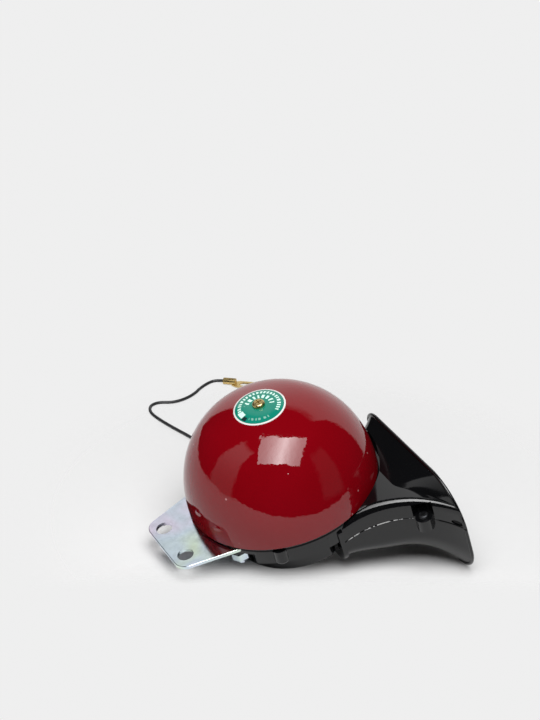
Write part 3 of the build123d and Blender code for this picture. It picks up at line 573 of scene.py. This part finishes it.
def make_lead(finish):
    data = bpy.data.curves.new("lead", "CURVE")
    data.dimensions = "3D"
    data.bevel_depth = LEAD_DIAMETER / 2
    data.bevel_resolution = 6
    data.resolution_u = 16
    data.use_fill_caps = True
    spline = data.splines.new("NURBS")
    spline.points.add(len(LEAD_ROUTE) - 1)
    for point, place in zip(spline.points, LEAD_ROUTE):
        point.co = (*(number * MM for number in place), 1.0)
    spline.order_u = 3
    spline.use_endpoint_u = True
    lead = bpy.data.objects.new("lead", data)
    scene.collection.objects.link(lead)
    data.materials.append(finish)
    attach(lead, "horn")
    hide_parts("lead_wire")


# ---- studio -----------------------------------------------------------------------------------
FLOOR_FRONT = 0.184              # how far the floor's front edge is ahead of the horn's axis
FLOOR_SLOPE = 0.29               # how that edge runs back to the right
FLOOR_REACH = 2.4                # how far the floor goes to both sides and back
FLOOR_TONES = (0.685, 0.705)
SHADOW_MIDDLE = (0.015, -0.025)  # the middle of the horn's shadow, across and forward
SHADOW_FRONT = (0.020, 0.052)    # forward, where the floor fades out ahead of the shadow
SHADOW_RADIUS = (0.088, 0.165)   # where it fades out round the shadow
GLOSS_RADIUS = (0.30, 0.55)      # where it fades out of the horn's reflections


def make_floor():
    """A floor that the camera sees only at the horn's shadow, with the backdrop's tone past it."""
    front_left = studio_point(-FLOOR_REACH, FLOOR_FRONT + FLOOR_SLOPE * FLOOR_REACH)
    front_right = studio_point(FLOOR_REACH, FLOOR_FRONT - FLOOR_SLOPE * FLOOR_REACH)
    back_right = studio_point(FLOOR_REACH, -FLOOR_REACH)
    back_left = studio_point(-FLOOR_REACH, -FLOOR_REACH)
    corners = [front_left, front_right, back_right, back_left]
    data = bpy.data.meshes.new("floor")
    data.from_pydata([tuple(corner) for corner in corners], [], [(0, 1, 2, 3)])
    floor = bpy.data.objects.new("floor", data)
    scene.collection.objects.link(floor)

    made, s = material("floor")
    offset = s.offset(SURFACE)
    across = s.dot(offset, right)
    forward = s.dot(offset, towards)
    off_shadow = s.length(s.minus(across, SHADOW_MIDDLE[0]), s.minus(forward, SHADOW_MIDDLE[1]))
    camera_sees, mirrored = s.rays()
    fade = s.larger(s.step(forward, *SHADOW_FRONT), s.step(off_shadow, *SHADOW_RADIUS))
    clear_to_camera = s.times(fade, camera_sees)
    clear_to_gloss = s.times(s.step(s.length(across, forward), *GLOSS_RADIUS), mirrored)
    from_below = s.new("ShaderNodeNewGeometry").outputs["Backfacing"]
    hidden = s.larger(s.larger(clear_to_camera, clear_to_gloss), from_below)
    paper = s.new("ShaderNodeBsdfDiffuse")
    low_tone, high_tone = FLOOR_TONES
    s.link(s.mix(s.noise(180.0, detail=3.0), grey(low_tone), grey(high_tone)), paper.inputs["Color"])
    clear = s.new("ShaderNodeBsdfTransparent")
    blend = s.new("ShaderNodeMixShader")
    s.link(hidden, blend.inputs[0])
    s.link(paper.outputs[0], blend.inputs[1])
    s.link(clear.outputs[0], blend.inputs[2])
    s.output(blend)
    data.materials.append(made)


# The world's angles are in degrees: the turn round UP, from 0 towards the camera to 90 at the
# picture's right, and the level above the surface. Pairs are soft edges.
PALE = 0.862                     # the backdrop as the camera and the horn's gloss see it
BACKDROP_LIGHT = 0.80            # and as it lights the horn
SWEEP_LEFT = (-149, -146)        # the turns where the backdrop's sweep behind the horn ends
SWEEP_RIGHT = (124, 129)
SWEEP_TOP = (46, 64)
BELOW_TOP = (-6.5, -4.0)         # it goes on below the surface, behind the floor's front edge
BEHIND_EDGE = (-0.05, 0.05)      # how far a ray, 1 long, points ahead of that edge
ROOM_LIGHT = 0.012               # everywhere else

# Pale panels at both sides, which the camera doesn't see: two edges and how soft both are.
LEFT_PANEL_TURN = (-90, -57, 2.0)
LEFT_PANEL_LEVEL = (-8, 53, 3.0)
LEFT_PANEL_RISE = (0, 50)        # it brightens between these levels
LEFT_PANEL_LIGHT = (0.34, 0.85)
RIGHT_PANEL_TURN = (50, 77, 4.0)
RIGHT_PANEL_LEVEL = (-6, 44, 4.0)
RIGHT_PANEL_LIGHT = 0.16


def make_world():
    world = bpy.data.worlds.new("studio")
    scene.world = world
    s = Shader(world)
    ray = s.new("ShaderNodeTexCoord").outputs["Generated"]
    rise = s.dot(ray, UP)
    side = s.dot(ray, right)
    front = s.dot(ray, towards)
    turn = s.math("ARCTAN2", side, front)
    level = s.math("ARCSINE", s.math("MINIMUM", s.larger(rise, -1.0), 1.0))

    def band(angle, low, high, soft):
        return s.times(
            s.step(angle, *radians(low - soft, low + soft)),
            s.fall(angle, *radians(high - soft, high + soft)),
        )

    sweep_ends = s.larger(s.fall(turn, *radians(*SWEEP_LEFT)), s.step(turn, *radians(*SWEEP_RIGHT)))
    sweep = s.times(sweep_ends, s.fall(level, *radians(*SWEEP_TOP)))
    behind_edge = s.fall(s.plus(front, s.times(side, FLOOR_SLOPE)), *BEHIND_EDGE)
    below = s.times(s.fall(level, *radians(*BELOW_TOP)), behind_edge)
    backdrop = s.larger(sweep, below)
    left_panel = s.times(band(turn, *LEFT_PANEL_TURN), band(level, *LEFT_PANEL_LEVEL))
    left_panel = s.times(left_panel, s.step(level, *radians(*LEFT_PANEL_RISE), *LEFT_PANEL_LIGHT))
    right_panel = s.times(band(turn, *RIGHT_PANEL_TURN), band(level, *RIGHT_PANEL_LEVEL))
    right_panel = s.times(right_panel, RIGHT_PANEL_LIGHT)
    room = s.larger(s.times(backdrop, BACKDROP_LIGHT), s.larger(left_panel, right_panel))
    room = s.larger(room, ROOM_LIGHT)
    camera_sees, mirrored = s.rays()
    shows_pale = s.larger(camera_sees, s.times(mirrored, backdrop))
    back = s.new("ShaderNodeBackground")
    s.link(s.mix(shows_pale, room, PALE, "Float"), back.inputs["Strength"])
    back.inputs["Color"].default_value = grey(1.0)
    s.output(back, "ShaderNodeOutputWorld")


BOX_LEVEL = math.radians(63.9)   # how far above the surface it stands, seen from the horn
BOX_ROLL = math.radians(-5.5)    # how it is turned about its own axis
BOX_DISTANCE = 1.5
BOX_AIM = 0.03                   # how far above the surface the point is that it faces
BOX_WIDTH = 1.40
BOX_HEIGHT = 1.08
BOX_RADIANCE = 5.5
BOX_SIDES = 0.74                 # its level at its two sides, as a share of that radiance
BOX_MIDDLE = 2.35                # and along the middle between them


def make_soft_box():
    """A soft box over the camera's side of the horn, brightest along its middle."""
    data = bpy.data.lights.new("soft_box", "AREA")
    data.shape = "RECTANGLE"
    data.size = BOX_WIDTH
    data.size_y = BOX_HEIGHT
    data.energy = BOX_RADIANCE * math.pi * BOX_WIDTH * BOX_HEIGHT
    s = Shader(data)
    across, _, _ = s.split(s.new("ShaderNodeNewGeometry").outputs["Parametric"])
    inward = s.minus(1.0, s.times(s.math("ABSOLUTE", s.minus(across, 0.5)), 2.0))
    peak = s.times(s.times(inward, inward), BOX_MIDDLE - BOX_SIDES)
    glow = s.new("ShaderNodeEmission")
    s.link(s.plus(peak, BOX_SIDES), glow.inputs["Strength"])
    s.output(glow, "ShaderNodeOutputLight")
    box = bpy.data.objects.new("soft_box", data)
    scene.collection.objects.link(box)
    z_axis = towards * math.cos(BOX_LEVEL) + UP * math.sin(BOX_LEVEL)
    x_axis = Matrix.Rotation(BOX_ROLL, 3, z_axis) @ right
    y_axis = z_axis.cross(x_axis).normalized()
    turn = Matrix((x_axis, y_axis, z_axis)).transposed().to_4x4()
    box.matrix_world = Matrix.Translation(studio_point(0, 0, BOX_AIM) + z_axis * BOX_DISTANCE) @ turn


make_camera()
finishes = make_materials()
make_lead(finishes["lead_sheath"])
make_floor()
make_world()
make_soft_box()
